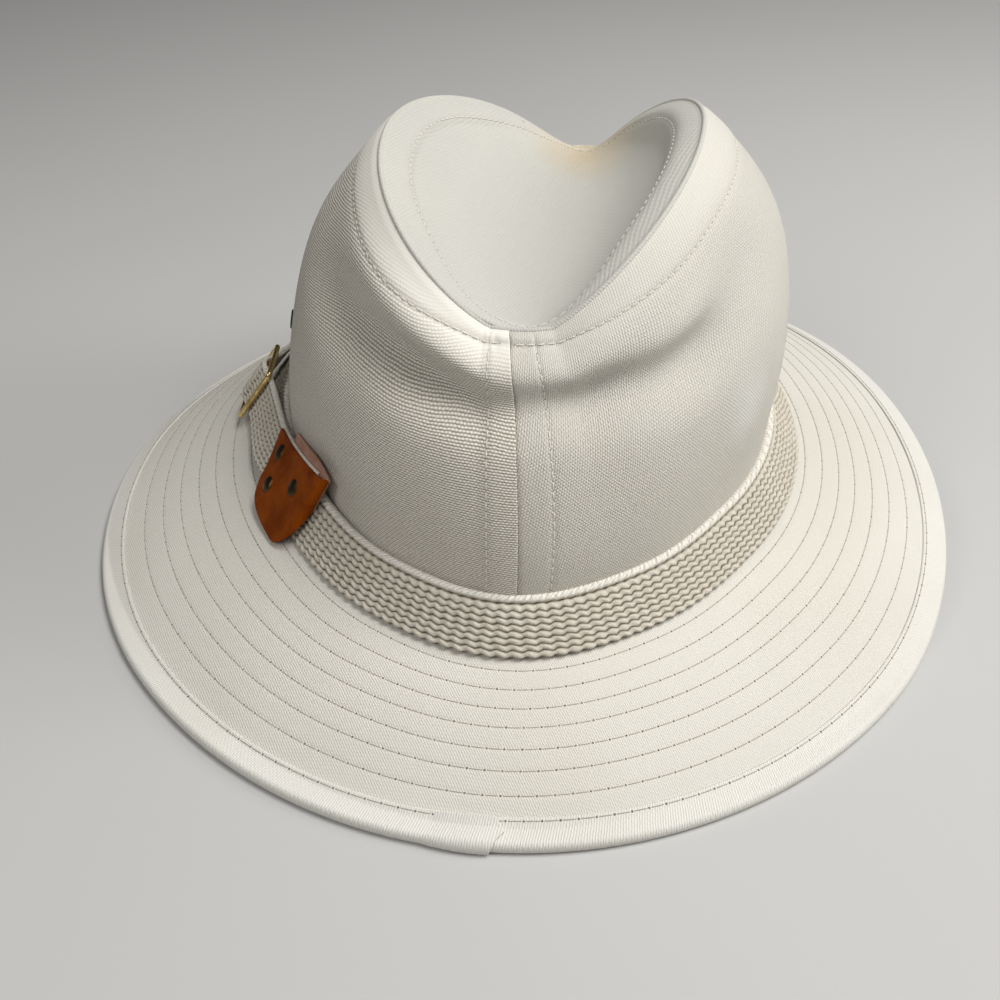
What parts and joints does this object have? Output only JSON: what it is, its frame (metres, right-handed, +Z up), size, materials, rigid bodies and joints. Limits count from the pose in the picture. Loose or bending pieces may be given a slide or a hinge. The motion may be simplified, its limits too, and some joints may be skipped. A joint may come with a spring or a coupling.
{
  "type": "safari fedora",
  "caption": "Soft cotton twill safari fedora with a creased crown, a stitched and bound brim, and a webbing band with a brass slide and a riveted leather tab.",
  "frame": {"origin": "centre of the overall box, on the surface that the brim rests on", "axes": "+Z up, +Y to the front of the hat, -X to the wearer's left, where the buckle is"},
  "size_m": [0.2982, 0.317, 0.1361],
  "materials": {
    "cotton_twill": "matt natural cotton twill",
    "webbing": "matt ribbed cotton webbing",
    "tan_leather": "smooth tan leather with a soft sheen",
    "brass": "bright worn brass",
    "dark_brass": "darkened brass"
  },
  "bodies": {
    "root": {"crown_side_right": "cotton_twill", "crown_side_left": "cotton_twill", "crown_tip": "cotton_twill", "hat_band": "webbing", "band_tail": "webbing", "buckle": "brass", "leather_tab": "tan_leather", "brim": "cotton_twill", "brim_binding": "cotton_twill", "rivet_1": "dark_brass", "rivet_2": "dark_brass", "rivet_3": "dark_brass", "eyelet_left_front": "dark_brass", "eyelet_left_back": "dark_brass", "eyelet_right_front": "dark_brass", "eyelet_right_back": "dark_brass"}
  },
  "joints": []
}
